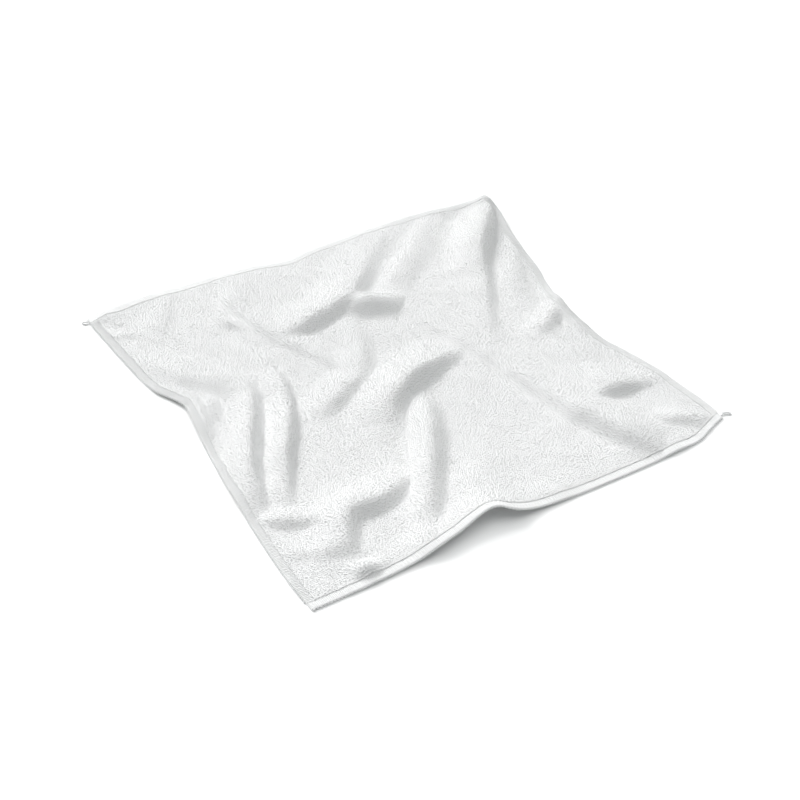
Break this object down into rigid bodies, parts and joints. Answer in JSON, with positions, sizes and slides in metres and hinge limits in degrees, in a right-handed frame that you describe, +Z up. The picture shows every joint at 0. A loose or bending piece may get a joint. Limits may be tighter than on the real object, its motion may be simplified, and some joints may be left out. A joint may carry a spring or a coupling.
{
  "type": "microfibre cleaning cloth",
  "caption": "Square terry cleaning cloth with an overlocked edge all round, lying lightly wrinkled on a flat surface.",
  "frame": {"origin": "middle of the cloth's outline box, on the surface that the cloth lies on", "axes": "+Z up, away from that surface; +X along the front edge to its right; +Y from the front edge to the back edge"},
  "size_m": [0.4092, 0.4048, 0.02],
  "materials": {
    "terry_fabric": "matte terry of short soft loops",
    "seam_thread": "soft spun thread, slightly smoother than the terry"
  },
  "bodies": {
    "root": {"cloth_panel": "terry_fabric", "front_needle_thread": "seam_thread", "front_upper_looper_thread": "seam_thread", "front_lower_looper_thread": "seam_thread", "back_needle_thread": "seam_thread", "back_upper_looper_thread": "seam_thread", "back_lower_looper_thread": "seam_thread", "left_needle_thread": "seam_thread", "left_upper_looper_thread": "seam_thread", "left_lower_looper_thread": "seam_thread", "right_needle_thread": "seam_thread", "right_upper_looper_thread": "seam_thread", "right_lower_looper_thread": "seam_thread", "back_left_thread_tail": "seam_thread", "front_right_thread_tail": "seam_thread"}
  },
  "joints": []
}
